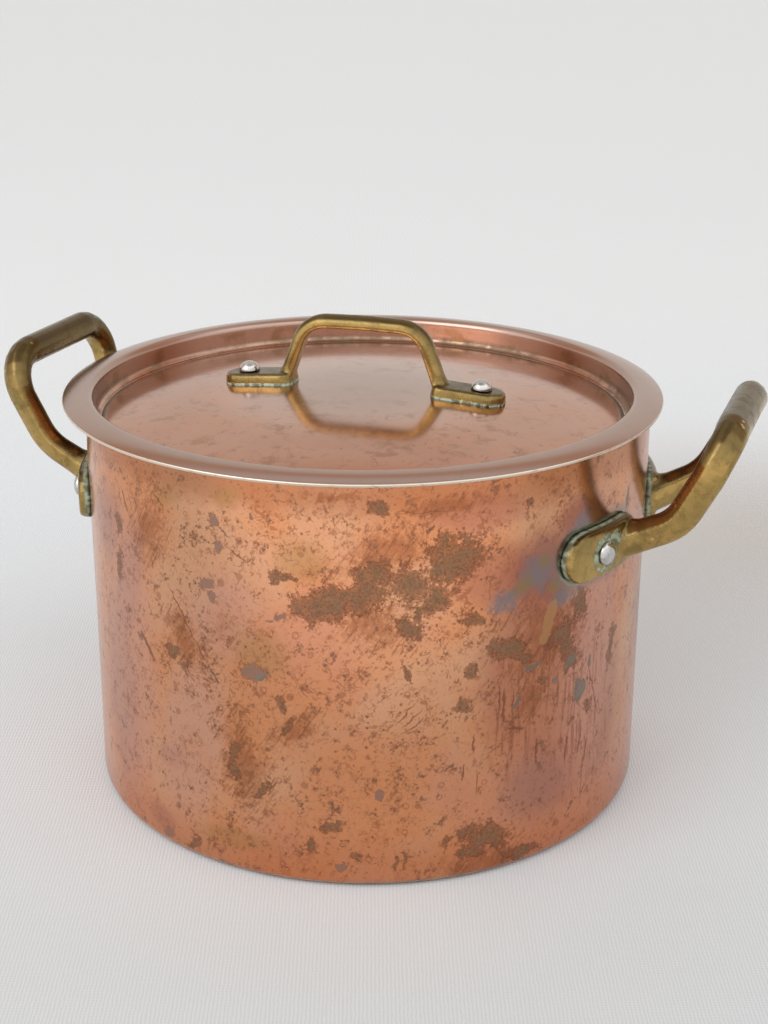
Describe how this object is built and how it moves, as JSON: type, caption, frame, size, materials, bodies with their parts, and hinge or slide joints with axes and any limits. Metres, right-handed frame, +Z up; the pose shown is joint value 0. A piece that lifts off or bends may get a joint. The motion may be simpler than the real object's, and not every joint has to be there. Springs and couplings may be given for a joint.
{
  "type": "lidded copper stockpot",
  "caption": "Straight-sided copper stockpot with a flanged lift-off lid, a bow handle on the lid and a riveted brass loop handle on each side.",
  "frame": {"origin": "centre of the pot's flat underside", "axes": "+Z up along the pot's axis, +X out through the right side handle"},
  "size_m": [0.2692, 0.2116, 0.1692],
  "materials": {
    "pot_copper": "aged copper, worn and stained, tinned inside",
    "lid_copper": "satin copper",
    "cast_brass": "cast and polished, with verdigris in the corners",
    "rivets": "bright domed heads"
  },
  "bodies": {
    "pot": {"pot_body": "pot_copper", "side_handle_right": "cast_brass", "side_handle_left": "cast_brass", "rivet_right_front": "rivets", "rivet_right_back": "rivets", "rivet_left_front": "rivets", "rivet_left_back": "rivets"},
    "lid": {"lid": "lid_copper", "lid_handle": "cast_brass", "lid_rivet_right": "rivets", "lid_rivet_left": "rivets"}
  },
  "joints": [
    {"name": "lid_lift", "type": "slide", "parent": "pot", "child": "lid", "axis": [0, 0, 1], "range_m": [0, 0.12]}
  ]
}
